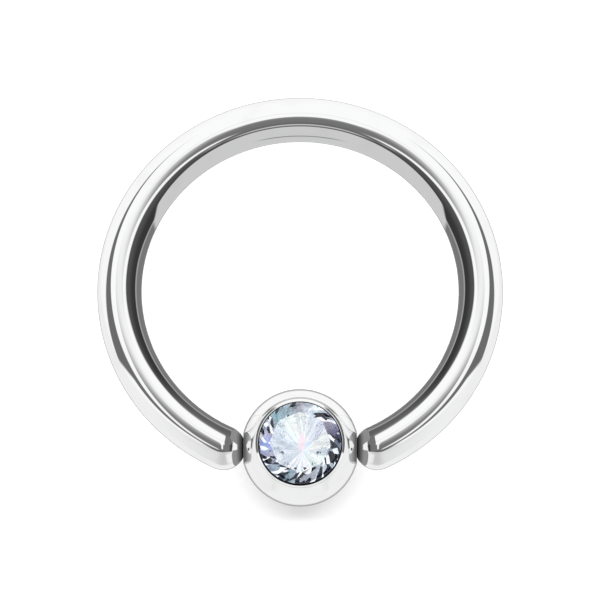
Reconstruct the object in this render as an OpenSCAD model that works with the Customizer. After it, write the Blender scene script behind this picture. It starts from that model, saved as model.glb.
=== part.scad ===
// Captive bead ring: a round wire bent to an open circle, whose two round ends
// grip a steel ball by its dimples. A brilliant-cut stone is set in the ball.
// The ring lies as it rests by itself, on the ball at the front and on the wire
// at the back. The origin is on the surface that it rests on, under its middle.

/* [Ring] */
// Inside diameter of the ring
ring_inside_d = 11.4; // [9:0.1:16]
// Diameter of the wire
wire_d = 1.6; // [1.2:0.1:2]

/* [Ball] */
// Diameter of the ball
ball_d = 4.2; // [3.8:0.1:5]
// Diameter of the curve that the dimples are ground to
dimple_d = 3; // [2.4:0.1:4]
// How far each end of the wire reaches inside the ball's outline
end_reach = 0.15; // [0.1:0.01:0.25]
// Gap between each end of the wire and the bottom of its dimple
end_gap = 0.02; // [0.01:0.01:0.05]
// Turn of the ball between the wire's ends, from facing square out of the ring
ball_turn = 10; // [-180:1:180]

/* [Lip] */
// Thickness of the rounded lip round the stone
lip_t = 0.12; // [0.08:0.01:0.16]
// How far the lip reaches over the edge of the stone
lip_cover = 0.02; // [0.01:0.01:0.04]
// Gap between the lip and the stone
lip_gap = 0.03; // [0.02:0.01:0.06]

/* [Stone] */
// Diameter of the stone at its girdle
stone_d = 2.96; // [2.6:0.02:3.04]
// Width of the table, from corner to corner
table_d = 2.12; // [1.7:0.02:2.3]
// Height of the crown, from the girdle to the table
crown_h = 0.4; // [0.3:0.01:0.5]
// Thickness of the girdle
girdle_t = 0.06; // [0.04:0.01:0.1]
// Depth of the pavilion, from the girdle to its point
pavilion_h = 1.25; // [1:0.01:1.4]
// Gap between the stone and its seat
seat_gap = 0.02; // [0.01:0.01:0.05]
// How far the star facets reach from the table to the girdle
star_share = 0.5; // [0.4:0.01:0.6]
// How far the lower facets reach from the girdle to the point
lower_share = 0.76; // [0.7:0.01:0.85]

/* [Hidden] */
$fn = 96;

wire_r = wire_d / 2;
ring_r = ring_inside_d / 2 + wire_r;
ball_r = ball_d / 2;

// The ends of the wire stand on one line through the ball's centre.
end_x = ball_r - end_reach + wire_r;
ball_off = sqrt(pow(ring_r, 2) - pow(end_x, 2));
gap_angle = asin(end_x / ring_r);

// The ring leans on the ball, so its plane rises from the back to the front.
lie_angle = asin((ball_r - wire_r) / (ring_r + ball_off));
back_y = ring_r * cos(lie_angle) + wire_r;
front_y = ball_off * cos(lie_angle) + ball_r;
ring_y = (front_y - back_y) / 2;
ring_z = wire_r + ring_r * sin(lie_angle);

// Crown and pavilion of the stone, all heights from the ball's centre.
facets = 8;
step = 360 / facets;
stone_r = stone_d / 2;
table_r = table_d / 2;
crown_slope = atan(crown_h / (stone_r - table_r));
pavilion_slope = atan(pavilion_h / stone_r);
lip_r = stone_r - lip_cover + lip_t / 2;
lip_z = sqrt(pow(ball_r, 2) - pow(lip_r, 2));
girdle_z = lip_z - (lip_t / 2 + lip_gap - (lip_r - stone_r) * sin(crown_slope)) / cos(crown_slope);
table_z = girdle_z + crown_h;
keel_z = girdle_z - girdle_t;
point_z = keel_z - pavilion_h;

// Where two neighbouring main facets meet the end of a star, and of a lower facet.
star_in = table_r * cos(step / 2);
star_r = star_in + star_share * (stone_r - star_in);
star_z = table_z - tan(crown_slope) * (star_r * cos(step / 2) - table_r);
lower_r = (1 - lower_share) * stone_r;
lower_z = point_z + tan(pavilion_slope) * lower_r * cos(step / 2);

// Puts a piece that is made in the ring's own plane where the ring lies.
module lie() {
    translate([0, ring_y, ring_z]) rotate([-lie_angle, 0, 0]) children();
}

// Puts a piece that is made round the ball's centre between the wire's ends.
module between_ends() {
    lie() translate([0, -ball_off, 0]) rotate([ball_turn, 0, 0]) children();
}

module wire_ring() {
    color("silver") lie() {
        rotate([0, 0, gap_angle - 90])
            rotate_extrude(angle = 360 - 2 * gap_angle) translate([ring_r, 0]) circle(r = wire_r);
        for (side = [-1, 1]) translate([side * end_x, -ball_off, 0]) sphere(r = wire_r);
    }
}

// The ball's solid without what the stone and the wire's ends take from it.
module hollowed_ball() {
    seat_r = stone_r + seat_gap;
    floor_z = point_z - seat_gap / cos(pavilion_slope);
    shoulder_z = floor_z + seat_r * tan(pavilion_slope);
    dimple_x = end_x - wire_r - end_gap + dimple_d / 2;
    difference() {
        sphere(r = ball_r);
        rotate_extrude()
            polygon([[0, floor_z], [seat_r, shoulder_z], [seat_r, ball_d], [0, ball_d]]);
        for (side = [-1, 1]) translate([side * dimple_x, 0, 0]) sphere(d = dimple_d);
    }
}

module bead() {
    color("gainsboro") between_ends() {
        hollowed_ball();
        rotate_extrude() translate([lip_r, lip_z]) circle(d = lip_t);
    }
}

// Corners spaced evenly round the stone's axis, the first one turned by the given angle.
function corners(count, r, z, turn = 0) =
    [for (i = [0 : count - 1]) let (a = turn + i * 360 / count) [r * cos(a), r * sin(a), z]];

// The corners are listed in rings, from the table down to the point. A face
// takes its corners from them, clockwise as seen from outside.
module stone() {
    function table_at(i) = i % facets;
    function star_at(i) = facets + (i + facets) % facets;
    function girdle_at(i) = 2 * facets + i % (2 * facets);
    function keel_at(i) = 4 * facets + i % (2 * facets);
    function lower_at(i) = 6 * facets + (i + facets) % facets;
    point_at = 7 * facets;
    each_facet = [0 : facets - 1];
    color("lightcyan") between_ends() polyhedron(
        points = concat(
            corners(facets, table_r, table_z),
            corners(facets, star_r, star_z, step / 2),
            corners(2 * facets, stone_r, girdle_z),
            corners(2 * facets, stone_r, keel_z),
            corners(facets, lower_r, lower_z, step / 2),
            [[0, 0, point_z]]),
        faces = concat(
            [[for (i = [facets - 1 : -1 : 0]) table_at(i)]],
            [for (i = each_facet) [table_at(i), table_at(i + 1), star_at(i)]],
            [for (i = each_facet) [table_at(i), star_at(i), girdle_at(2 * i), star_at(i - 1)]],
            [for (i = each_facet, half = [0, 1])
                [star_at(i), girdle_at(2 * i + half + 1), girdle_at(2 * i + half)]],
            [for (i = [0 : 2 * facets - 1]) [girdle_at(i), girdle_at(i + 1), keel_at(i + 1), keel_at(i)]],
            [for (i = each_facet, half = [0, 1])
                [keel_at(2 * i + half), keel_at(2 * i + half + 1), lower_at(i)]],
            [for (i = each_facet) [keel_at(2 * i), lower_at(i), point_at, lower_at(i - 1)]]));
}

wire_ring();
bead();
stone();
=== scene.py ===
"""Looks of the captive bead ring: bright steel wire and bead, a clear cut stone, and their small studio.

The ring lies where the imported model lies, on the bead at the front and on the wire at the back.
Lengths are in metres, except inside the node trees, where patterns are laid out in millimetres.
"""
from math import asin, atan, atan2, cos, dist, hypot, pi, radians, sin, sqrt, tan

import bmesh
import bpy
import numpy as np
from bpy.props import FloatProperty, FloatVectorProperty, IntProperty, PointerProperty
from mathutils import Matrix, Vector


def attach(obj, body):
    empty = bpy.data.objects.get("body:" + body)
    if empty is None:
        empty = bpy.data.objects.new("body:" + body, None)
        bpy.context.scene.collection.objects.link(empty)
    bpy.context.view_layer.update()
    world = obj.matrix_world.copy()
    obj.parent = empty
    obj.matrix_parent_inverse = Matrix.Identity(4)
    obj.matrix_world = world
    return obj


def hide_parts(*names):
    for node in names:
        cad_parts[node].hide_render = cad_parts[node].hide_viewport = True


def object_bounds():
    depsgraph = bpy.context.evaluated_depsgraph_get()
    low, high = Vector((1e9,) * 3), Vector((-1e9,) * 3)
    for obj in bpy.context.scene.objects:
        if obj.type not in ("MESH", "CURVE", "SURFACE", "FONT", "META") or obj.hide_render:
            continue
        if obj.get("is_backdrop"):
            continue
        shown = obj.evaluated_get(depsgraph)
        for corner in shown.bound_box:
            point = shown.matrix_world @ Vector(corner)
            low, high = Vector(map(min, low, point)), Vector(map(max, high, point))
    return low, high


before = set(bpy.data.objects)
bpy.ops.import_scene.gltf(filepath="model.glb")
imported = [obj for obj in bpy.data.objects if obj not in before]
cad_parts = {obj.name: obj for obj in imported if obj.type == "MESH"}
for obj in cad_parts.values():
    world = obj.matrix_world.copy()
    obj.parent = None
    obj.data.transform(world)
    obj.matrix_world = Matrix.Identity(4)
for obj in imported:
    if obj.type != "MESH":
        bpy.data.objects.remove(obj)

bl_info = {
    "name": "Captive Bead Ring",
    "version": (1, 0, 0),
    "blender": (4, 5, 0),
    "location": "View3D > Sidebar > Bead Ring",
    "description": "Makes a captive bead ring with a set stone, and the studio that it is shown in",
    "category": "Add Mesh",
}

MM = 0.001
DEGREES = 180 / pi
MIRROR = 0.93  # share of the light that polished steel gives back
SAME_PLACE = 1e-6  # points of the wire that are nearer than this are one
RIGHT = Vector((1, 0, 0))
SIDES = ((-1, "left"), (1, "right"))


def length(name, description, default_mm, low_mm=0.001, high_mm=20):
    """A length that a user can change, given in millimetres and kept in metres."""
    return FloatProperty(name=name, description=description, default=default_mm * MM, min=low_mm * MM,
                         max=high_mm * MM, unit="LENGTH", precision=5)


def steps(name, description, default, low):
    """A number of steps that a user can change."""
    return IntProperty(name=name, description=description, default=default, min=low)


def tone(name, description, default):
    """A colour that a user can change, as linear red, green and blue."""
    return FloatVectorProperty(name=name, description=description, default=default, size=3,
                               subtype="COLOR", min=0, max=1)


def share(name, description, default, low=0.0, high=1.0):
    """A plain number that a user can change."""
    return FloatProperty(name=name, description=description, default=default, min=low, max=high,
                         precision=4)


def angle(name, description, default_deg):
    """An angle that a user can change, given in degrees."""
    return FloatProperty(name=name, description=description, default=radians(default_deg),
                         unit="ROTATION", subtype="ANGLE")


class WireSizes(bpy.types.PropertyGroup):
    inside_d: length("Inside diameter", "Clear width inside the ring", 11.4)
    wire_d: length("Wire diameter", "Thickness of the round wire", 1.6)
    steps_along: steps("Steps along", "Sections from one end to the other", 400, 32)
    steps_round: steps("Steps round", "Corners of each section", 72, 12)
    steps_end: steps("Steps in an end", "Sections in each rounded end", 18, 4)


class BeadSizes(bpy.types.PropertyGroup):
    ball_d: length("Ball diameter", "Diameter of the bead", 4.2)
    dimple_d: length("Dimple curve", "Diameter of the curve that the dimples are ground to", 3)
    end_reach: length("End reach", "How far each end of the wire reaches inside the ball's outline", 0.15)
    end_gap: length("End gap", "Gap between an end of the wire and its dimple", 0.02)
    turn: angle("Turn", "Turn of the bead between the wire's ends", 10)
    lip_t: length("Lip thickness", "Thickness of the rounded lip round the stone", 0.12)
    lip_cover: length("Lip cover", "How far the lip reaches over the stone's edge", 0.02)
    steps_round: steps("Steps round", "Sections round the bead's own axis", 192, 24)


class StoneSizes(bpy.types.PropertyGroup):
    stone_d: length("Stone diameter", "Diameter at the girdle", 2.96)
    table_d: length("Table width", "Width of the table from corner to corner", 2.12)
    crown_h: length("Crown height", "Height from the girdle to the table", 0.4)
    girdle_t: length("Girdle thickness", "Thickness of the girdle", 0.06)
    pavilion_h: length("Pavilion depth", "Depth from the girdle to the point", 1.25)
    lip_gap: length("Lip gap", "Gap between the lip and the stone", 0.03)
    seat_gap: length("Seat gap", "Gap between the stone and its seat", 0.02)
    star_share: share("Star share", "How far the stars reach from the table to the girdle", 0.5)
    lower_share: share("Lower share", "How far the lower facets reach from the girdle to the point", 0.76)


class Finishes(bpy.types.PropertyGroup):
    steel: tone("Steel", "Colour of the polished steel", (0.93, 0.932, 0.935))
    steel_worn: tone("Handled steel", "Colour of the steel where it is dulled", (0.90, 0.900, 0.902))
    # painted shade: the grey that takes over from the mirror at the steel's outline, where it turns away
    rim: tone("Rim", "Colour of the steel's outline", (0.30, 0.30, 0.31))
    # painted shade: the ground dimples, where the wire's ends touch, are coloured near black
    ground_shade: tone("Ground steel", "Colour of the ground dimples", (0.12, 0.12, 0.125))
    seat: tone("Seat", "Colour of the turned seat under the stone", (0.60, 0.62, 0.66))
    # painted light: the seat under the stone glows, though it is no lamp, to light the stone from below
    painted_seat_glow: tone("Backing", "Light of the bright backing under the stone", (0.71, 0.745, 0.79))
    # painted shade: the crease between the lip and the stone, coloured near black
    painted_lip_shadow: tone("Seat line", "Colour of the line between the lip and the stone", (0.02, 0.02, 0.022))
    polish: share("Polish", "Roughness of the polished steel", 0.035)
    stone_tint: tone("Stone", "Tint of the clear stone", (0.985, 0.99, 1.0))
    stone_shine: tone("Stone shine", "Tint of what the stone mirrors", (0.25, 0.26, 0.28))
    stone_index: share("Stone index", "Refractive index of the stone", 2.4, 1.0, 3.0)
    # painted reflections on the stone: the crown's grey and black shards
    shard_low: tone("Shard, darkest", "Darkest of the crown's grey shards", (0.34, 0.34, 0.37))
    shard_dark: tone("Shard, black", "Colour of the crown's black shards", (0.012, 0.014, 0.022))
    # painted reflections on the stone: the table's grey rays and its pink streak of fire
    ray_grey: tone("Ray", "Colour of the grey rays on the table", (0.76, 0.79, 0.81))
    painted_rose_streak: tone("Rose", "Colour of the streak in the table's middle", (0.98, 0.77, 0.81))


class StageSettings(bpy.types.PropertyGroup):
    floor: tone("Floor", "Colour of the pale floor", (0.6, 0.6, 0.6))
    floor_glow: share("Floor glow", "Light of its own, which softens its shadows", 0.26)
    floor_r: length("Floor radius", "Radius of the floor", 600, 100, 2000)
    lens: FloatProperty(name="Lens", description="Focal length in millimetres", default=470, min=20)
    distance: length("Distance", "Camera's distance", 281.9, 10, 2000)
    elevation: angle("Elevation", "Camera's angle above the floor", 78.35)
    floor_light: share("Floor light", "Even light on the floor from all round", 0.86, high=5.0)
    lamp_power: share("Lamp power", "Watts of the lamp over the bead", 1.8, high=50.0)
    lamp_height: angle("Lamp height", "The lamp's angle above the floor", 81.5)
    lamp_way: length("Lamp distance", "From the bead to the lamp", 400, 10, 2000)
    lamp_wide: length("Lamp width", "Width of the lamp", 500, 10, 2000)
    lamp_deep: length("Lamp depth", "Depth of the lamp", 100, 10, 2000)


def plan(context):
    """The scene's sizes and colours, and the lengths and places that follow from them."""
    return context.scene.bead_ring, Build(context.scene.bead_ring)


class BeadRing(bpy.types.PropertyGroup):
    wire: PointerProperty(type=WireSizes)
    bead: PointerProperty(type=BeadSizes)
    stone: PointerProperty(type=StoneSizes)
    finish: PointerProperty(type=Finishes)
    stage: PointerProperty(type=StageSettings)


class Build:
    """The lengths and places that follow from the sizes, as in the part's source."""

    def __init__(self, sizes):
        wire, bead, stone = sizes.wire, sizes.bead, sizes.stone
        self.wire_r = wire.wire_d / 2
        self.ring_r = wire.inside_d / 2 + self.wire_r
        self.ball_r = bead.ball_d / 2
        self.end_x = self.ball_r - bead.end_reach + self.wire_r
        self.ball_off = sqrt(self.ring_r ** 2 - self.end_x ** 2)
        self.gap_angle = asin(self.end_x / self.ring_r)
        self.lie_angle = asin((self.ball_r - self.wire_r) / (self.ring_r + self.ball_off))
        back_y = self.ring_r * cos(self.lie_angle) + self.wire_r
        front_y = self.ball_off * cos(self.lie_angle) + self.ball_r
        centre_z = self.wire_r + self.ring_r * sin(self.lie_angle)
        self.ring_centre = Vector((0, (front_y - back_y) / 2, centre_z))
        self.lie = Matrix.Translation(self.ring_centre) @ Matrix.Rotation(-self.lie_angle, 4, "X")
        self.between_ends = self.lie @ Matrix.Translation((0, -self.ball_off, 0)) \
            @ Matrix.Rotation(bead.turn, 4, "X")

        self.dimple_r = bead.dimple_d / 2
        self.dimple_x = self.end_x - self.wire_r - bead.end_gap + self.dimple_r
        self.stone_r, self.table_r = stone.stone_d / 2, stone.table_d / 2
        self.crown_slope = atan(stone.crown_h / (self.stone_r - self.table_r))
        self.pavilion_slope = atan(stone.pavilion_h / self.stone_r)
        self.lip_in_r = bead.lip_t / 2
        self.lip_r = self.stone_r - bead.lip_cover + self.lip_in_r
        self.lip_z = sqrt(self.ball_r ** 2 - self.lip_r ** 2)
        lean = (self.lip_r - self.stone_r) * sin(self.crown_slope)
        self.girdle_z = self.lip_z - (self.lip_in_r + stone.lip_gap - lean) / cos(self.crown_slope)
        self.table_z = self.girdle_z + stone.crown_h
        self.keel_z = self.girdle_z - stone.girdle_t
        self.point_z = self.keel_z - stone.pavilion_h
        half = radians(22.5)
        star_in = self.table_r * cos(half)
        self.star_r = star_in + stone.star_share * (self.stone_r - star_in)
        star_run = self.star_r * cos(half) - self.table_r
        self.star_z = self.table_z - tan(self.crown_slope) * star_run
        self.lower_r = (1 - stone.lower_share) * self.stone_r
        self.lower_z = self.point_z + tan(self.pavilion_slope) * self.lower_r * cos(half)
        self.seat_r = self.stone_r + stone.seat_gap
        self.floor_z = self.point_z - stone.seat_gap / cos(self.pavilion_slope)
        self.shoulder_z = self.floor_z + self.seat_r * tan(self.pavilion_slope)


def math_node(operation, last=False):
    """A method that adds the Math node of that operation, with the term as its first or last input."""
    def method(self, *others):
        terms = (*others, self) if last else (self, *others)
        return self.node("ShaderNodeMath", dict(enumerate(terms)), operation=operation)
    return method


class Term:
    """One output of a node tree. Arithmetic on it adds the Math nodes that work the result out."""
    __add__, __radd__ = math_node("ADD"), math_node("ADD", last=True)
    __sub__, __rsub__ = math_node("SUBTRACT"), math_node("SUBTRACT", last=True)
    __mul__, __rmul__ = math_node("MULTIPLY"), math_node("MULTIPLY", last=True)
    __truediv__, __abs__, root = math_node("DIVIDE"), math_node("ABSOLUTE"), math_node("SQRT")
    sin, cos, arcsin = math_node("SINE"), math_node("COSINE"), math_node("ARCSINE")
    least, most = math_node("MINIMUM"), math_node("MAXIMUM")
    bearing = math_node("ARCTAN2")  # the angle whose tangent is this over the other

    def __init__(self, tree, socket=None):
        self.tree, self.socket = tree, socket

    def node(self, kind, inputs=(), output=0, **settings):
        """Adds a node, with values or terms for its inputs by name or number. Returns one output."""
        made = self.tree.nodes.new(kind)
        for name, value in settings.items():
            if name == "stops":
                ramp = made.color_ramp
                while len(ramp.elements) < len(value):
                    ramp.elements.new(1)
                for element, (place, colour) in zip(ramp.elements, value):
                    element.position, element.color = place, colour
            else:
                setattr(made, name, value)
        for key, value in dict(inputs).items():
            if isinstance(value, Term):
                self.tree.links.new(value.socket, made.inputs[key])
            else:
                made.inputs[key].default_value = value
        return Term(self.tree, made.outputs[output]) if made.outputs else None

    def span(self, other):
        """The length of the two taken as the sides of a right angle."""
        return (self * self + other * other).root()

    def rise(self, start, end):
        """0 below start, 1 above end and a smooth step between, or falling where end is the lower one."""
        return self.node("ShaderNodeMapRange", {0: self, 1: float(start), 2: float(end), 3: 0.0, 4: 1.0},
                         interpolation_type="SMOOTHSTEP", clamp=True)

    def dot(self, vector):
        return self.node("ShaderNodeVectorMath", {0: self, 1: tuple(vector)}, "Value",
                         operation="DOT_PRODUCT")

    def vector(self, *parts):
        return self.node("ShaderNodeCombineXYZ", dict(enumerate(parts)))

    def parts(self):
        return [self.node("ShaderNodeSeparateXYZ", {0: self}, k) for k in range(3)]

    def noise(self, scale, detail, roughness=0.5):
        return self.node("ShaderNodeTexNoise", {
            "Vector": self, "Scale": scale, "Detail": detail, "Roughness": roughness})

    def ramp(self, stops):
        """A colour from (place, colour) stops, as this goes from 0 to 1."""
        return self.node("ShaderNodeValToRGB", {0: self}, stops=[(at, (*tint, 1.0)) for at, tint in stops])

    def times(self, other):
        """This colour times another."""
        return self.node("ShaderNodeMix", {0: 1.0, 6: self, 7: other}, 2, data_type="RGBA",
                         blend_type="MULTIPLY")

    def blend(self, low, high):
        """A colour that goes from low to high as this goes from 0 to 1."""
        colours = {6: low, 7: high}
        inputs = {k: v if isinstance(v, Term) else (*v, 1.0) for k, v in colours.items()}
        return self.node("ShaderNodeMix", {0: self, **inputs}, 2, data_type="RGBA")

    def between(self, low, high):
        """A number that goes from low to high as this goes from 0 to 1."""
        return low + self * (high - low)


def linear(level):
    """The light that shows as that grey level from 0 to 255."""
    v = level / 255
    return v / 12.92 if v <= 0.04045 else ((v + 0.055) / 1.055) ** 2.4


def seen(level):
    """The light that polished steel shows as that grey level from 0 to 255."""
    return linear(level) / MIRROR


def new_material(name):
    """A material with an empty node tree, and the term that its nodes are added with."""
    material = bpy.data.materials.new(name)
    material.use_nodes = True
    material.node_tree.nodes.clear()
    return material, Term(material.node_tree)


def output_surface(net, shader):
    net.node("ShaderNodeOutputMaterial", {"Surface": shader})


def place_in(net, frame_of_piece):
    """Object coordinates in millimetres, in that frame."""
    at = net.node("ShaderNodeTexCoord", output="Object")
    back = frame_of_piece.inverted()
    return net.node("ShaderNodeMapping", {
        "Vector": at, "Location": tuple(back.translation / MM), "Rotation": tuple(back.to_3x3().to_euler()),
        "Scale": (1 / MM,) * 3})


def polished_steel(net, finish, patches, lines, bump_mm, rough, layers=(), more=()):
    """Bright steel with small dulled patches, and a painted darker rim where it turns away: painted shade
    that stands in for the room it mirrors there.

    layers lists where other colours lie over the steel's own. more are other inputs of its shader.
    """
    dulled = patches.rise(0.52, 0.72)
    colour = dulled.blend(finish.steel, finish.steel_worn)
    for where, layer in layers:
        colour = where.blend(colour, layer)
    bump = net.node("ShaderNodeBump", {"Strength": 1.0, "Distance": bump_mm * MM, "Height": lines})
    steel = net.node("ShaderNodeBsdfPrincipled", {
        "Base Color": colour, "Metallic": 1.0, "Roughness": finish.polish + dulled * 0.02 + rough,
        "Normal": bump, **dict(more)})
    # painted shade: a grey diffuse rim takes the mirror's place where the surface turns away from the view
    facing = net.node("ShaderNodeLayerWeight", {"Blend": 0.5}, "Facing")
    rim = net.node("ShaderNodeBsdfDiffuse", {"Color": (*finish.rim, 1.0)})
    output_surface(net, net.node("ShaderNodeMixShader", {0: facing.rise(0.70, 0.95), 1: steel, 2: rim}))


def wire_steel(place, finish):
    """Drawn and polished wire: faint lines along it, small dulled patches and a mirror finish."""
    material, net = new_material("wire_steel_polished")
    at = place_in(net, place.lie)
    x, y, z = at.parts()
    round_wire = z.bearing(x.span(y) - place.ring_r / MM)
    along = y.bearing(x) * (place.ring_r / MM)
    lines = net.vector(along * 0.22, round_wire.cos() * 14, round_wire.sin() * 14).noise(1.0, 4.0, 0.6)
    polished_steel(net, finish, at.noise(0.9, 3.0), lines, 0.00012, lines.rise(0.55, 0.75) * 0.015)
    return material


def bead_steel(place, finish):
    """Polished ball with a painted shade line inside its lip, painted shade in its dimples, and a turned,
    unpolished seat under the stone that glows with painted light.
    """
    material, net = new_material("bead_steel_polished")
    at = place_in(net, place.between_ends)
    x, y, z = at.parts()
    out = x.span(y)
    inner_r, seat_r, lip_z = (place.lip_r - place.lip_in_r) / MM, place.seat_r / MM, place.lip_z / MM
    inside = out.rise(seat_r + 0.012, seat_r + 0.002) * z.rise(-0.05, 0.0) * z.rise(lip_z, lip_z - 0.02)
    # painted shade: the lip's inner edge next to the stone is coloured near black
    edge = (out + y * 0.016).rise(inner_r + 0.054, inner_r + 0.042) * z.rise(lip_z - 0.03, lip_z - 0.02)
    # painted shade: the dimples by the wire's ends are coloured near black
    dimple = abs(x).rise(1.86, 1.88) * y.span(z).rise(0.56, 0.53)
    rings = net.vector(out * 40, z * 40, y.bearing(x) * 0.5).noise(1.0, 2.0)
    layers = ((inside, finish.seat), (edge, finish.painted_lip_shadow), (dimple, finish.ground_shade))
    # painted light: the seat glows, to light the stone from below
    glow = {"Emission Color": inside.blend((0, 0, 0), finish.painted_seat_glow), "Emission Strength": 1.0}
    polished_steel(net, finish, at.noise(1.1, 3.0), rings * (inside * 4 + 0.2), 0.0002, inside * 0.3,
                   layers, glow)
    return material


def crown_painted_reflections(finish, at):
    """The crown's painted reflections: grey, dark and white shards with straight edges, tinted round the
    stone.
    """
    x, y, _ = at.parts()
    out = x.span(y)
    turn = y.bearing(x) / (2 * pi) + 0.5

    def pieces(where, scale):
        """Two chance values for each shard of that scale."""
        colour = at.node("ShaderNodeTexVoronoi", {"Vector": where, "Scale": scale, "Randomness": 1.0},
                         "Color", voronoi_dimensions="2D", feature="F1")
        return (at.node("ShaderNodeSeparateColor", {0: colour}, k) for k in (0, 1))

    wide, wide_too = pieces(at, 5.0)
    thin, thin_too = pieces(at.vector(turn * 58 + out * 6.5, out * 4.4), 1.0)
    front = (x * 0.64 - y * 0.77).rise(0.3, 1.1)
    rear = (y - x * 0.3).rise(-0.2, 0.8)
    calm = (y - x * 0.8).rise(0.1, 0.9)
    # painted reflections: black shards for dark reflected light, white shards for painted glints
    dark = (wide + calm * 0.14 - front * 0.12).rise(0.15, 0.13).most((thin - front * 0.30).rise(0.13, 0.11))
    white = (wide + thin_too * 0.2).rise(0.97, 0.98).most((thin_too + front * 0.16).rise(0.80, 0.82))
    shard = turn.ramp(crown_stops()).times(
        (wide_too * 0.6 + thin * 0.4 + rear * 0.22).blend(finish.shard_low, (1.1, 1.1, 1.1)))
    return dark.blend(white.blend(shard, (1.0, 1.0, 1.0)), finish.shard_dark)


def table_painted_reflections(finish, at):
    """The table's painted reflections: rays from a point near its front, and a pink streak of painted fire.
    """
    x, y, _ = at.parts()
    ray_x, ray_y = x - 0.083, y + 0.316
    ray = ray_y.bearing(ray_x)
    fan = at.vector(ray.cos() * 2.6, ray.sin() * 2.6, ray_x.span(ray_y) * 0.35)
    grey = fan.noise(2.2, 3.0, 0.65).rise(0.40, 0.56).blend(finish.ray_grey, (1.0, 1.0, 1.0))
    rays = (ray / (2 * pi) + 0.5).ramp(table_stops()).times(grey)
    # painted fire: a pink streak in the table's middle
    painted_rose_streak = ((x - 0.04 - y * 0.08) / 0.14).span((y + 0.01) / 0.40).rise(1.15, 0.45)
    return painted_rose_streak.blend(rays, finish.painted_rose_streak)


def clear_stone(place, finish):
    """Clear polished stone of high index, with painted reflections: the shards of its crown and the rays of
    its table.

    The tints colour the light only where it enters from outside, so the inside of the stone stays clear.
    """
    material, net = new_material("clear_stone_polished")
    at = place_in(net, place.between_ends)
    table_z = place.table_z / MM
    table = at.parts()[2].rise(table_z - 0.012, table_z - 0.004)
    # painted reflections over the table and the crown
    tint = table.blend(crown_painted_reflections(finish, at), table_painted_reflections(finish, at))
    inside = net.node("ShaderNodeNewGeometry", output="Backfacing")
    twice = net.node("ShaderNodeVectorMath", {0: tint, 1: tint}, operation="MULTIPLY")
    output_surface(net, net.node("ShaderNodeBsdfPrincipled", {
        "Base Color": inside.blend(twice, finish.stone_tint), "Roughness": 0.0, "IOR": finish.stone_index,
        "Specular Tint": (*finish.stone_shine, 1.0), "Transmission Weight": 1.0}))
    return material


def table_stops():
    """The tints of the painted rays on the table, round the point where they meet: from the left over the
    front.
    """
    blue, white, cream, green = (0.80, 0.84, 0.88), (1.0, 1.0, 1.0), (1.0, 1.0, 0.93), (0.92, 0.97, 0.92)
    lavender, mist = (0.82, 0.82, 0.90), (0.90, 0.93, 0.94)
    return ((0.0, blue), (0.10, blue), (0.13, white), (0.28, white), (0.34, green), (0.47, green),
            (0.495, blue), (0.535, cream), (0.61, cream), (0.63, lavender), (0.70, mist),
            (0.77, cream), (0.84, green), (0.90, blue), (1.0, blue))


def crown_stops():
    """The tints of the crown's painted reflections round the stone: from the left over the front."""
    blue, lavender, teal = (0.34, 0.45, 0.85), (0.48, 0.45, 0.56), (0.30, 0.48, 0.52)
    grey, navy, pale = (0.42, 0.42, 0.46), (0.04, 0.05, 0.14), (0.72, 0.82, 0.84)
    return ((0.0, blue), (0.06, lavender), (0.17, teal), (0.25, grey), (0.42, pale), (0.52, navy),
            (0.60, lavender), (0.69, pale), (0.75, grey), (0.87, teal), (0.96, lavender), (1.0, blue))


def new_object(name, data):
    made = bpy.data.objects.new(name, data)
    bpy.context.scene.collection.objects.link(made)
    return made


def mesh_from(bm, name):
    mesh = bpy.data.meshes.new(name)
    bm.to_mesh(mesh)
    bm.free()
    return mesh


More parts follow.
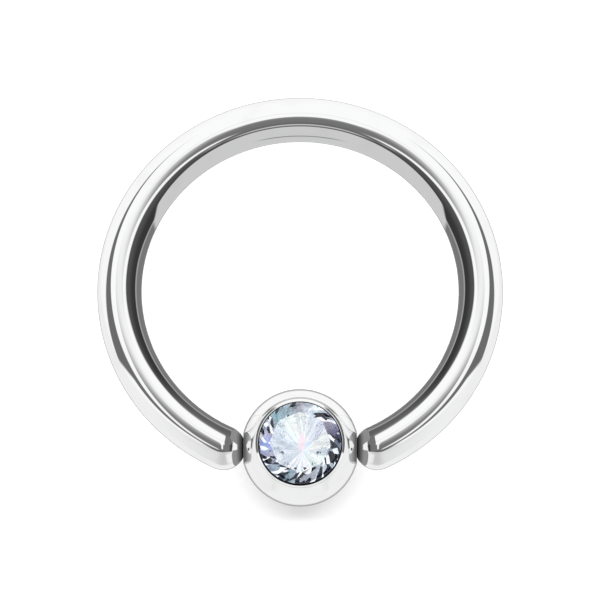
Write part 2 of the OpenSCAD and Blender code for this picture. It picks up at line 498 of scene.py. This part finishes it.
def wire_tree(inputs):
    """The node tree that bends the wire: a row of points, bent to the ring and rounded off at both ends."""
    tree = bpy.data.node_groups.new("bent_wire", "GeometryNodeTree")
    face = tree.interface
    for name, (kind, _) in inputs.items():
        face.new_socket(name=name, in_out="INPUT", socket_type="NodeSocket" + kind)
    face.new_socket(name="Geometry", in_out="OUTPUT", socket_type="NodeSocketGeometry")
    net = Term(tree)
    given = tree.nodes.new("NodeGroupInput")
    get = {name: Term(tree, given.outputs[name]) for name in inputs}
    ends, along = get["Steps In End"], get["Steps Along"]
    point = net.node("GeometryNodeInputIndex")
    quarter, whole = pi / 2, 2 * pi

    def portion(first, count):
        """How far the point is through that stretch, from 0 to 1."""
        return ((point - first) / count).most(0.0).least(1.0)

    first_end = (1.0 - portion(0.0, ends)) * quarter
    last_end = portion(ends + along, ends) * quarter
    sweep = whole - get["Gap Angle"] * 2.0
    turn = (portion(ends, along) - 0.5) * sweep
    beyond = (last_end.sin() - first_end.sin()) * get["Wire Radius"]
    x = turn.sin() * get["Ring Radius"] + turn.cos() * beyond
    y = turn.cos() * get["Ring Radius"] - turn.sin() * beyond
    row = net.node("GeometryNodeMeshLine", {"Count": along + ends * 2.0 + 1.0}, mode="OFFSET")
    bent = net.node("GeometryNodeSetPosition", {"Geometry": row, "Position": net.vector(x, y)})
    path = net.node("GeometryNodeMeshToCurve", {"Mesh": bent})
    thick = (first_end + last_end).cos() * get["Wire Radius"]
    section = net.node("GeometryNodeCurvePrimitiveCircle", {
        "Resolution": get["Steps Round"], "Radius": 1.0}, mode="RADIUS")
    wire = net.node("GeometryNodeCurveToMesh", {"Curve": path, "Profile Curve": section, "Scale": thick})
    closed = net.node("GeometryNodeMergeByDistance", {"Geometry": wire, "Distance": SAME_PLACE})
    smooth = net.node("GeometryNodeSetShadeSmooth", {"Geometry": closed, "Shade Smooth": True})
    laid = net.node("GeometryNodeTransform", {
        "Geometry": smooth, "Translation": get["Ring Centre"],
        "Rotation": net.vector(get["Lie Angle"] * -1.0)})
    real = net.node("GeometryNodeRealizeInstances", {"Geometry": laid})
    shown = net.node("GeometryNodeSetMaterial", {"Geometry": real, "Material": get["Finish"]})
    net.node("NodeGroupOutput", {"Geometry": shown})
    return tree


def from_tree(name, tree, inputs):
    """Runs a node tree with the given inputs and keeps its result as a plain mesh object."""
    holder = new_object(name + "_maker", bpy.data.meshes.new(name + "_maker"))
    modifier = holder.modifiers.new("maker", "NODES")
    modifier.node_group = tree
    for item in tree.interface.items_tree:
        if item.item_type == "SOCKET" and item.in_out == "INPUT":
            modifier[item.identifier] = inputs[item.name][1]
    depsgraph = bpy.context.evaluated_depsgraph_get()
    mesh = bpy.data.meshes.new_from_object(holder.evaluated_get(depsgraph), preserve_all_data_layers=True,
                                           depsgraph=depsgraph)
    mesh.name = name
    holder.modifiers.remove(modifier)
    bpy.data.objects.remove(holder)
    return new_object(name, mesh)


def outwards(mesh):
    """Turns the faces of a closed mesh outwards."""
    bm = bmesh.new()
    bm.from_mesh(mesh)
    if bm.calc_volume(signed=True) < 0:
        bmesh.ops.reverse_faces(bm, faces=bm.faces)
    bm.to_mesh(mesh)
    bm.free()


def make_wire(context):
    sizes, place = plan(context)
    inputs = {  # the kind and the value of each input of the node tree
        "Ring Radius": ("Float", place.ring_r), "Wire Radius": ("Float", place.wire_r),
        "Gap Angle": ("Float", place.gap_angle), "Lie Angle": ("Float", place.lie_angle),
        "Ring Centre": ("Vector", place.ring_centre), "Steps Along": ("Int", sizes.wire.steps_along),
        "Steps Round": ("Int", sizes.wire.steps_round), "Steps In End": ("Int", sizes.wire.steps_end),
        "Finish": ("Material", wire_steel(place, sizes.finish))}
    wire = from_tree("polished_wire", wire_tree(inputs), inputs)
    outwards(wire.data)
    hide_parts("wire_ring")
    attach(wire, "ring")


def arc(centre, radius, start, end, count):
    """Points of an arc, as (distance from the axis, height). Its angles are from the axis."""
    return [(centre[0] + radius * sin(a), centre[1] + radius * cos(a))
            for a in np.linspace(start, end, count + 1)]


def bead_profile(place):
    """The bead's outline from the bottom of the seat, over the lip and down the ball to its lowest point.

    Each point is (distance from the axis, height, lean of the surface from the axis there).
    """
    def line(start, end, lean, count=4):
        (r0, z0), (r1, z1) = start, end
        return [(r0 + (r1 - r0) * k / count, z0 + (z1 - z0) * k / count, lean) for k in range(count + 1)]

    def bend(centre, radius, start, end, count=8):
        leans = np.linspace(start, end, count + 1)
        return [(r, z, lean) for (r, z), lean in zip(arc(centre, radius, start, end, count), leans)]

    inner_r, outer_r = place.lip_r - place.lip_in_r, place.lip_r + place.lip_in_r + 0.015 * MM
    top_z = place.lip_z + place.lip_in_r
    round_in, round_out = 0.026 * MM, 0.016 * MM
    flat, slope = radians(14), radians(31)
    middle_r = inner_r + 0.42 * (outer_r - inner_r)
    under_z = place.lip_z - 0.02 * MM
    wall_z = under_z - 0.02 * MM

    inside = (inner_r + round_in, top_z - round_in)
    first = (inside[0] + round_in * sin(flat), inside[1] + round_in * cos(flat))
    second = (middle_r, first[1] - (middle_r - first[0]) * tan(flat))
    third_r = outer_r - round_out + round_out * sin(slope)
    third = (third_r, second[1] - (third_r - second[0]) * tan(slope))
    outside = (third[0] - round_out * sin(slope), third[1] - round_out * cos(slope))
    ball_polar = asin(outer_r / place.ball_r)

    return line((0, place.floor_z), (place.seat_r, place.shoulder_z), -place.pavilion_slope, 12) \
        + line((place.seat_r, place.shoulder_z), (place.seat_r, wall_z), -pi / 2) \
        + line((place.seat_r, wall_z), (inner_r, under_z), -radians(150)) \
        + line((inner_r, under_z), (inner_r, inside[1]), -pi / 2) \
        + bend(inside, round_in, -pi / 2, flat) + line(first, second, flat) + line(second, third, slope) \
        + bend(outside, round_out, slope, pi / 2) \
        + line((outer_r, outside[1]), (outer_r, place.ball_r * cos(ball_polar)), pi / 2) \
        + bend((0, 0), place.ball_r, ball_polar, pi, 90)


def lathe(name, profile, count):
    """A closed mesh that turns a profile about Z. The profile begins and ends on the axis."""
    bm = bmesh.new()
    rings = []
    places = [point[:2] for point in profile]
    for r, z in [p for k, p in enumerate(places) if k == 0 or dist(p, places[k - 1]) > 1e-9]:
        if r < 1e-9:
            rings.append([bm.verts.new((0, 0, z))])
        else:
            rings.append([bm.verts.new((r * cos(a), r * sin(a), z))
                          for a in (2 * pi * k / count for k in range(count))])
    for low, high in zip(rings, rings[1:]):
        for k in range(count):
            n = (k + 1) % count
            corners = [low[k % len(low)], low[n % len(low)], high[n % len(high)], high[k % len(high)]]
            bm.faces.new([v for i, v in enumerate(corners) if v not in corners[:i]])
    if bm.calc_volume(signed=True) < 0:
        bmesh.ops.reverse_faces(bm, faces=bm.faces)
    return mesh_from(bm, name)


def true_normals(mesh, forms):
    """Gives each corner the normal of the form that its face lies on, so that mirrors show no facets.

    A form is (distance, normal): functions of an array of points that say how far each is from the form,
    and which way the form faces there.
    """
    corners = np.array([v.co for v in mesh.vertices])[[c.vertex_index for c in mesh.loops]]
    totals = [p.loop_total for p in mesh.polygons]
    corner_face = np.repeat(np.arange(len(totals)), totals)
    off = np.zeros((len(forms), len(totals)))
    for k, (distance, _) in enumerate(forms):
        np.maximum.at(off[k], corner_face, np.abs(distance(corners)))
    nearest = off.argmin(0)[corner_face]
    normals = np.zeros_like(corners)
    for k, (_, normal) in enumerate(forms):
        on = nearest == k
        if on.any():
            normals[on] = normal(corners[on])
    normals /= np.maximum(np.linalg.norm(normals, axis=1, keepdims=True), 1e-12)
    mesh.shade_smooth()
    mesh.normals_split_custom_set(normals.tolist())


def bead_forms(place):
    """The forms that the bead's surface is made of."""
    def spread(p):
        return np.hypot(p[:, 0], p[:, 1])

    def radial(p):
        return p[:, :2] / np.maximum(spread(p), 1e-12)[:, None]

    def sphere(x, radius, out):
        """A sphere on the X axis, whose surface faces outwards (out is 1) or inwards (out is -1)."""
        centre = np.array([x, 0, 0])
        return (lambda p: np.linalg.norm(p - centre, axis=1) - radius), (lambda p: (p - centre) * out)

    def turned(start, end):
        """One straight or gently bent stretch of the profile, turned about the axis."""
        (r0, z0, lean0), (r1, z1, lean1) = start, end
        run = hypot(r1 - r0, z1 - z0)
        along = np.array([(r1 - r0) / run, (z1 - z0) / run])

        def where(p):
            """How far through the stretch each point is, from 0 to 1, and how far off its line."""
            way = np.column_stack([spread(p) - r0, p[:, 2] - z0])
            return way @ along / run, way @ np.array([along[1], -along[0]])

        def distance(p):
            through, off = where(p)
            beyond = np.maximum(np.maximum(-through, through - 1), 0) * run
            return np.hypot(off, beyond)

        def normal(p):
            lean = lean0 + np.clip(where(p)[0], 0, 1) * (lean1 - lean0)
            return np.column_stack([radial(p) * np.sin(lean)[:, None], np.cos(lean)])

        return distance, normal

    profile = bead_profile(place)
    forms = [sphere(0, place.ball_r, 1)]
    for start, end in zip(profile, profile[1:]):
        on_ball = all(abs(hypot(*point[:2]) - place.ball_r) < 1e-9 for point in (start, end))
        if dist(start[:2], end[:2]) > 1e-9 and not on_ball:
            forms.append(turned(start, end))
    return forms + [sphere(side * place.dimple_x, place.dimple_r, -1) for side, _ in SIDES]


def make_bead(context):
    sizes, place = plan(context)
    bead = new_object("polished_bead", lathe("polished_bead", bead_profile(place), sizes.bead.steps_round))
    for side, _ in SIDES:
        cutter_mesh = lathe("dimple_cutter", arc((0, 0), place.dimple_r, 0, pi, 90), 120)
        to_dimple = Matrix.Translation((side * place.dimple_x, 0, 0)) @ Matrix.Rotation(pi / 2, 4, "Y")
        cutter_mesh.transform(to_dimple)
        cutter = new_object("dimple_cutter", cutter_mesh)
        cut = bead.modifiers.new("dimple", "BOOLEAN")
        cut.operation, cut.solver, cut.object = "DIFFERENCE", "EXACT", cutter
        depsgraph = bpy.context.evaluated_depsgraph_get()
        mesh = bpy.data.meshes.new_from_object(bead.evaluated_get(depsgraph), depsgraph=depsgraph)
        bead.modifiers.remove(cut)
        bead.data = mesh
        bpy.data.objects.remove(cutter)
    bead.data.name = "polished_bead"
    bead.data.materials.clear()
    bead.data.materials.append(bead_steel(place, sizes.finish))
    true_normals(bead.data, bead_forms(place))
    bead.data.transform(place.between_ends)
    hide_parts("bead")
    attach(bead, "bead")


def make_stone(context):
    sizes, place = plan(context)
    facets, arc_steps = 8, 6
    step = 2 * pi / facets

    def ring(count, r, z, turn=0.0):
        turns = [turn + k * 2 * pi / count for k in range(count)]
        return [Vector((r * cos(t), r * sin(t), z)) for t in turns]

    table = ring(facets, place.table_r, place.table_z)
    stars = ring(facets, place.star_r, place.star_z, step / 2)
    girdle = ring(2 * facets, place.stone_r, place.girdle_z)
    keel = ring(2 * facets, place.stone_r, place.keel_z)
    lower = ring(facets, place.lower_r, place.lower_z, step / 2)
    point = Vector((0, 0, place.point_z))

    def edge(tip, a, b):
        """The curved edge from a to b, where the facet through tip, a and b meets the round girdle."""
        normal = (a - tip).cross(b - tip)
        turn_a, turn_b = atan2(a.y, a.x), atan2(b.y, b.x)
        if turn_b < turn_a:
            turn_b += 2 * pi
        points = []
        for k in range(arc_steps + 1):
            t = turn_a + (turn_b - turn_a) * k / arc_steps
            x, y = place.stone_r * cos(t), place.stone_r * sin(t)
            z = tip.z - (normal.x * (x - tip.x) + normal.y * (y - tip.y)) / normal.z
            points.append(Vector((x, y, z)))
        return points

    faces = [table]
    for i in range(facets):
        n, p = (i + 1) % facets, (i - 1) % facets
        faces.append([table[i], stars[i], table[n]])
        faces.append([table[i], stars[p], girdle[2 * i], stars[i]])
        faces.append([keel[2 * i], lower[p], point, lower[i]])
        for half in (0, 1):
            g, h = 2 * i + half, (2 * i + half + 1) % (2 * facets)
            top = edge(stars[i], girdle[g], girdle[h])
            bottom = edge(lower[i], keel[g], keel[h])
            faces.append([stars[i], *top])
            faces.append([lower[i], *reversed(bottom)])
            faces += [[bottom[k], bottom[k + 1], top[k + 1], top[k]] for k in range(arc_steps)]
    bm = bmesh.new()
    for corners in faces:
        bm.faces.new([bm.verts.new(c) for c in corners])
    bmesh.ops.remove_doubles(bm, verts=bm.verts, dist=1e-7)
    bmesh.ops.recalc_face_normals(bm, faces=bm.faces)
    mesh = mesh_from(bm, "cut_stone")
    mesh.transform(place.between_ends)
    mesh.materials.append(clear_stone(place, sizes.finish))
    stone = new_object("cut_stone", mesh)
    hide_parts("stone")
    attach(stone, "bead")


def studio_levels(way, stage):
    """What steel mirrors in each direction, by degrees of height and of turn from the studio's front."""
    up = Vector((0, 0.82, 0.578)).normalized()  # the studio leans back
    aside, ahead = way.dot(RIGHT), way.dot(RIGHT.cross(up))
    height = way.dot(up).arcsin() * DEGREES
    turn = abs(aside.bearing(ahead)) * DEGREES

    near = abs(aside).rise(0.0, 1.0).between(seen(199), seen(240))
    ground_shade = ahead.rise(0.05, 0.35).between(seen(238), near)
    ceiling = height.rise(20, 60).between(seen(247), seen(250))
    level = height.rise(-3, 3).between(ground_shade, ceiling)

    side_top, side_end = turn * 0.75 - 6.5, 82.0 + height * 0.3
    side_foot = (14.0 - (turn - 56.0) * 0.62).least(2.0 + turn * 0.21)
    side = (side_top - height).rise(-2, 2) * (side_end - turn).rise(-3, 3) \
        * (height - side_foot).rise(-2, 2) * turn.rise(20, 26)
    level = side.between(level, seen(106))

    over_arch = height - (59.0 - turn * turn * 0.016)
    arch = over_arch.rise(-4, -1) * over_arch.rise(3, 0) * 0.16 * turn.rise(40, 25)
    level = arch.between(level, seen(150))

    patch_side, patch_foot = turn - height.least(40.0) * 0.3, ((turn - 12.0) * 1.5).most(0.0)
    patch = patch_side.rise(23, 19) * (height - patch_foot).rise(-2, 7) \
        * (1.0 - turn.rise(11, 7) * height.rise(38, 42))
    fade = height.rise(20, 66)
    level = patch.between(level, (fade * fade).between(seen(114), seen(250)))

    horizon = turn.rise(31, 25) * height.rise(-1, 3) * height.rise(14, 10)
    level = horizon.between(level, seen(104))

    onward = way.dot((0, cos(stage.elevation), -sin(stage.elevation)))
    outline = onward.rise(cos(radians(30)), cos(radians(20)))
    return outline.between(level, seen(186))


def make_world(context):
    """Soft white studio: a bright ceiling, dark screens at both sides and a grey patch round the camera.

    Mirrors see this pattern, the stone looks out into one of its own, and all else gets plain even light.
    """
    stage = context.scene.bead_ring.stage
    world = bpy.data.worlds.new("studio")
    context.scene.world = world
    world.use_nodes = True
    world.node_tree.nodes.clear()
    world.cycles.sampling_method = "NONE"
    net = Term(world.node_tree)
    way = net.node("ShaderNodeTexCoord", output="Generated")
    mirrored = net.node("ShaderNodeLightPath", output="Is Glossy Ray")
    through = net.node("ShaderNodeLightPath", output="Is Transmission Ray")
    plain = mirrored.between(stage.floor_light, studio_levels(way, stage))
    grey = net.node("ShaderNodeCombineColor", {0: plain, 1: plain, 2: plain})
    light = net.node("ShaderNodeMix", {0: through, 6: grey, 7: stone_light(way)}, 2, data_type="RGBA")
    shade = net.node("ShaderNodeBackground", {"Color": light, "Strength": 1.0})
    net.node("ShaderNodeOutputWorld", {"Surface": shade})


def stone_light(way):
    """The colours that the stone gathers: pale light in large soft patches.

    The patches are shifted a little from red to blue, so that their edges show the stone's fire.
    """
    tint = way.noise(3.1, 1.0)
    channels = []
    for shift, pale, warm in ((-1, 1.12, 0.16), (0, 1.15, -0.03), (1, 1.22, -0.10)):
        apart = (shift * 0.018, shift * 0.012, 0)
        moved = way.node("ShaderNodeVectorMath", {0: way, 1: apart}, operation="ADD")
        patches = moved.noise(2.6, 2.0).rise(0.35, 0.62)
        channels.append(patches.between(pale * 0.84, pale) + (tint - 0.5) * warm)
    return way.node("ShaderNodeCombineColor", dict(enumerate(channels)))


def one_sided(net, shown, level):
    """Finishes a screen that glows only on the side its faces point to, and only where it is shown."""
    front = 1.0 - net.node("ShaderNodeNewGeometry", output="Backfacing")
    glow = net.node("ShaderNodeEmission", {"Strength": level})
    clear = net.node("ShaderNodeBsdfTransparent")
    output_surface(net, net.node("ShaderNodeMixShader", {0: shown * front, 1: clear, 2: glow}))


def face_to(bm, points, way):
    """Adds a face that points that way."""
    face = bm.faces.new(points)
    face.normal_update()
    if face.normal.dot(way) < 0:
        face.normal_flip()


def add_screen(bm, name, material, frame_of_screen):
    """Adds a screen that only mirrors see, from a mesh in that frame."""
    mesh = mesh_from(bm, name)
    mesh.transform(frame_of_screen)
    mesh.materials.append(material)
    screen = new_object(name, mesh)
    screen.visible_camera = screen.visible_diffuse = screen.visible_shadow = False
    screen.visible_transmission = screen.visible_volume_scatter = False
    screen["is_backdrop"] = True


def make_screens(context):
    """Two upright screens inside the ring: they darken what its inner wall reflects."""
    _, place = plan(context)
    radius, low, high = 4.6 * MM, -5 * MM, 5.5 * MM
    path = [(radius * sin(v), radius * cos(v)) for v in np.radians(np.linspace(0, 138, 121))]
    path.append((1.95 * MM, -4.80 * MM))
    finish = screen_finish(place)
    for side, where in SIDES:
        bm = bmesh.new()
        columns = [[bm.verts.new((side * x, y, z)) for z in (low, high)] for x, y in path]
        for a, b in zip(columns, columns[1:]):
            face_to(bm, (a[0], b[0], b[1], a[1]), Vector((*(a[0].co + b[0].co).xy, 0)))
        add_screen(bm, f"{where}_screen", finish, place.lie)


def card(name, low, high, way, material, frame_of_card=Matrix.Identity(4)):
    """Adds a flat screen that faces that way, from two opposite corners, in millimetres in that frame."""
    i, j = (k for k in range(3) if low[k] != high[k])
    second, fourth = list(low), list(low)
    second[i], fourth[j] = high[i], high[j]
    bm = bmesh.new()
    face_to(bm, [bm.verts.new(Vector(corner) * MM) for corner in (low, second, high, fourth)], Vector(way))
    add_screen(bm, name, material, frame_of_card)


def end_tones(y, z, out):
    """Shade on the wire's end that darkens to the point of touch, with a white card in it."""
    reach = 0.66 + y.rise(-0.06, -0.24) * 0.47
    white = z.rise(0.3, 0.4) * (0.42 - abs(y - 0.1)).rise(-0.06, 0.06) * out.rise(1.02, 0.98)
    slant = (y - 0.18 - (z - 0.66) * 1.2).rise(-0.04, 0.04) * out.rise(1.34, 1.26)
    shade = (reach - out).rise(-0.04, 0.04).most(slant)
    dark = out.rise(0.36, 0.80).between(linear(35), linear(145))
    return shade.most(white), shade.between(linear(252), dark)


def bead_tones(y, z, out):
    """Shade on the bead's side round the point of touch, with a white hollow and a dark spot in it."""
    hollow = (z - 0.70 - abs(y - 0.10) * 0.5).rise(-0.03, 0.05) * (0.26 - abs(y - 0.04)).rise(-0.05, 0.05)
    spot = (y + 0.04).span(z - 0.87).rise(0.08, 0.04)
    tones = hollow.between(out.rise(0.50, 1.15).between(linear(88), linear(190)), linear(246))
    shown = (1.14 - out - abs(y + 0.06) * 0.25).rise(-0.03, 0.03) * (0.54 - abs(y + 0.02)).rise(-0.07, 0.07)
    return shown, spot.between(tones, linear(92))


def wall_tones(y, z, _):
    """The upright band that ends the wire's light and dark stripes."""
    above = (y + 0.35 + (z - 1.2) * 0.37).rise(-0.04, 0.04)
    foot = 1.22 - y.rise(0.3, 0.7) * 1.9
    shown = above * (z - foot).rise(-0.04, 0.04) * (6.6 - z).rise(-0.8, 0.8)
    return shown, (z - foot).rise(0.08, 0.7).between(linear(58), linear(118))


def make_gap_screens(context):
    """Small screens and white cards by the bead and the wire's ends."""
    sizes, place = plan(context)
    # X to the right in the picture, Y up in it and Z to the camera
    view = Matrix.Translation(place.between_ends.translation) \
        @ Matrix.Rotation(pi / 2 - sizes.stage.elevation, 4, "X")
    white, net = new_material("white_card")
    one_sided(net, 1.0, seen(250))
    for side, where in SIDES:
        card(f"{where}_card", (side * 2.77, -0.30, 3.0), (side * 3.10, 1.6, 3.0), (0, 0, -1), white, view)

    pale, net = new_material("front_card")
    aside = abs(net.node("ShaderNodeTexCoord", output="Object").parts()[0])
    one_sided(net, 1.0, aside.rise(1.2 * MM, 1.95 * MM).between(seen(238), seen(230)))
    card("front_card", (-2, -8.3, 1.9), (2, -8.3, 5), (0, 1, 0), pale)

    # each screen: its tones, distance from the bead's middle, low and high corners in Y and Z, and side
    for name, tones, off, low, high, outward in (("end", end_tones, 2.06, (-1.3, -1.3), (1.3, 1.0), 1),
                                                 ("bead", bead_tones, 2.07, (-1.0, -1.0), (1.0, 1.0), -1),
                                                 ("wall", wall_tones, 1.90, (-2.6, -0.7), (3.4, 7.4), 1)):
        shade, net = new_material(f"{name}_shade")
        _, y, z = place_in(net, view).parts()
        one_sided(net, *tones(y, z, y.span(z)))
        for side, where in SIDES:
            card(f"{where}_{name}_screen", (side * off, *low), (side * off, *high), (side * outward, 0, 0),
                 shade, view)


def screen_finish(place):
    """The screens' tones by height over the ring's plane and by angle from the ring's back."""
    material, net = new_material("screen_tones")
    x, y, h = place_in(net, place.lie).parts()
    v = abs(x).bearing(y) * DEGREES
    ends = v.rise(115, 145)
    band = h.rise(0.9, 2.3).between(linear(54) + ends * 0.075, linear(80) + ends * 0.11)
    over_foot = h - (0.54 - v.rise(80, 60) * 0.3)
    line = over_foot.rise(-0.35, -0.2) * over_foot.rise(0.0, -0.08)
    below = linear(118) + line * (linear(160) - linear(118))
    level = over_foot.rise(-0.06, 0.06).between(below, band)

    light_end = 60.5 - h.most(0.0) * 5.9 - h.least(0.0) * h.least(0.0) * 0.81
    light_top = 1.75 - v * v * (0.65 / 54 ** 2)
    light = (light_end - v).rise(-1.2, 1.2) * (light_top - h).rise(-0.06, 0.06)
    level = light.between(level, linear(201))
    over_smile = h + 0.15 - v * v * 0.0006
    smile = v.rise(17, 9) * over_smile.rise(-0.16, -0.04) * over_smile.rise(0.16, 0.04)
    level = smile.between(level, linear(140))
    top = 2.1 + v.rise(15, 55) * 1.3 - v.rise(75, 105) * 0.9 - v.rise(100, 125) * 0.55
    one_sided(net, (top - h).rise(-0.35, 0.35), level / MIRROR)
    return material


def make_floor(context):
    stage = context.scene.bead_ring.stage
    bm = bmesh.new()
    bmesh.ops.create_circle(bm, cap_ends=True, radius=stage.floor_r, segments=96)
    floor = new_object("floor", mesh_from(bm, "floor"))
    material, net = new_material("pale_floor")
    output_surface(net, net.node("ShaderNodeBsdfPrincipled", {
        "Base Color": (*stage.floor, 1.0), "Roughness": 1.0, "Specular IOR Level": 0.0,
        "Emission Color": (1.0, 1.0, 1.0, 1.0), "Emission Strength": stage.floor_glow}))
    floor.data.materials.append(material)
    floor.visible_glossy = False
    floor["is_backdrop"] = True


def aim_along(made, way):
    """Turns a lamp or camera so that it looks that way."""
    made.rotation_mode = "QUATERNION"
    made.rotation_quaternion = way.to_track_quat("-Z", "Y")


def make_lamp(context):
    """A wide lamp above and behind, whose light only the bead and its stone hold back from the floor."""
    sizes, place = plan(context)
    stage = sizes.stage
    data = bpy.data.lights.new("soft_lamp", "AREA")
    data.shape, data.energy = "RECTANGLE", stage.lamp_power
    data.size, data.size_y = stage.lamp_wide, stage.lamp_deep
    lamp = new_object("soft_lamp", data)
    way = Vector((0, cos(stage.lamp_height), sin(stage.lamp_height)))
    lamp.location = place.between_ends.translation + way * stage.lamp_way
    aim_along(lamp, -way)
    lamp.visible_glossy = lamp.visible_transmission = False
    shading = bpy.data.collections.new("holds_back_the_lamp")
    for name in ("polished_bead", "cut_stone"):
        shading.objects.link(bpy.data.objects[name])
    lamp.light_linking.blocker_collection = shading


def make_camera(context):
    sizes, place = plan(context)
    stage = sizes.stage
    data = bpy.data.cameras.new("camera")
    data.lens, data.sensor_width = stage.lens, 36
    data.dof.use_dof = False
    data.clip_start, data.clip_end = 0.01, 10
    camera = new_object("camera", data)
    back = Vector((0, -cos(stage.elevation), sin(stage.elevation)))
    image_up = Vector((0, sin(stage.elevation), cos(stage.elevation)))
    down, left = 0.328 * MM, 0.0054 * MM  # from the ring's centre to the picture's
    aim = place.ring_centre - image_up * down - RIGHT * left
    camera.location = aim + back * stage.distance
    aim_along(camera, -back)
    context.scene.camera = camera


def make_stage(context):
    scene, bounces = context.scene, 64
    scene.view_settings.view_transform = "Standard"
    scene.cycles.max_bounces = scene.cycles.transmission_bounces = scene.cycles.glossy_bounces = bounces
    make_camera(context)
    make_world(context)
    make_screens(context)
    make_gap_screens(context)
    make_floor(context)
    make_lamp(context)


class BEADRING_OT_stage(bpy.types.Operator):
    """Makes the camera, the studio light and the floor"""
    bl_idname = "bead_ring.stage"
    bl_label = "Make Stage"

    def execute(self, context):
        make_stage(context)
        return {"FINISHED"}


class BEADRING_OT_wire(bpy.types.Operator):
    """Makes the bent wire with its rounded ends"""
    bl_idname = "bead_ring.wire"
    bl_label = "Make Wire"

    def execute(self, context):
        make_wire(context)
        return {"FINISHED"}


class BEADRING_OT_bead(bpy.types.Operator):
    """Makes the bead with its dimples, seat and lip"""
    bl_idname = "bead_ring.bead"
    bl_label = "Make Bead"

    def execute(self, context):
        make_bead(context)
        return {"FINISHED"}


class BEADRING_OT_stone(bpy.types.Operator):
    """Makes the brilliant-cut stone"""
    bl_idname = "bead_ring.stone"
    bl_label = "Make Stone"

    def execute(self, context):
        make_stone(context)
        return {"FINISHED"}


OPERATORS = (BEADRING_OT_stage, BEADRING_OT_wire, BEADRING_OT_bead, BEADRING_OT_stone)


class BEADRING_PT_panel(bpy.types.Panel):
    """Lists the pieces of the ring and their sizes"""
    bl_idname = "BEADRING_PT_panel"
    bl_label = "Captive Bead Ring"
    bl_space_type = "VIEW_3D"
    bl_region_type = "UI"
    bl_category = "Bead Ring"

    def draw(self, context):
        sizes = context.scene.bead_ring
        for name in ("wire", "bead", "stone", "finish", "stage"):
            group = getattr(sizes, name)
            box = self.layout.box()
            box.label(text=name.capitalize())
            for key in group.bl_rna.properties.keys():
                if key not in ("rna_type", "name"):
                    box.prop(group, key)
        for operator in OPERATORS:
            self.layout.operator(operator.bl_idname)


CLASSES = (WireSizes, BeadSizes, StoneSizes, Finishes, StageSettings, BeadRing, *OPERATORS,
           BEADRING_PT_panel)


def register():
    for each in CLASSES:
        bpy.utils.register_class(each)
    bpy.types.Scene.bead_ring = PointerProperty(type=BeadRing)


def unregister():
    del bpy.types.Scene.bead_ring
    for each in reversed(CLASSES):
        bpy.utils.unregister_class(each)


def corners():
    """The lowest and highest corner of what shows, as plain lists."""
    return [list(corner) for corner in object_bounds()]


def main():
    register()
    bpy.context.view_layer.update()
    bpy.ops.bead_ring.wire()
    bpy.ops.bead_ring.bead()
    bpy.ops.bead_ring.stone()
    bpy.ops.bead_ring.stage()


if __name__ == "__main__":
    main()
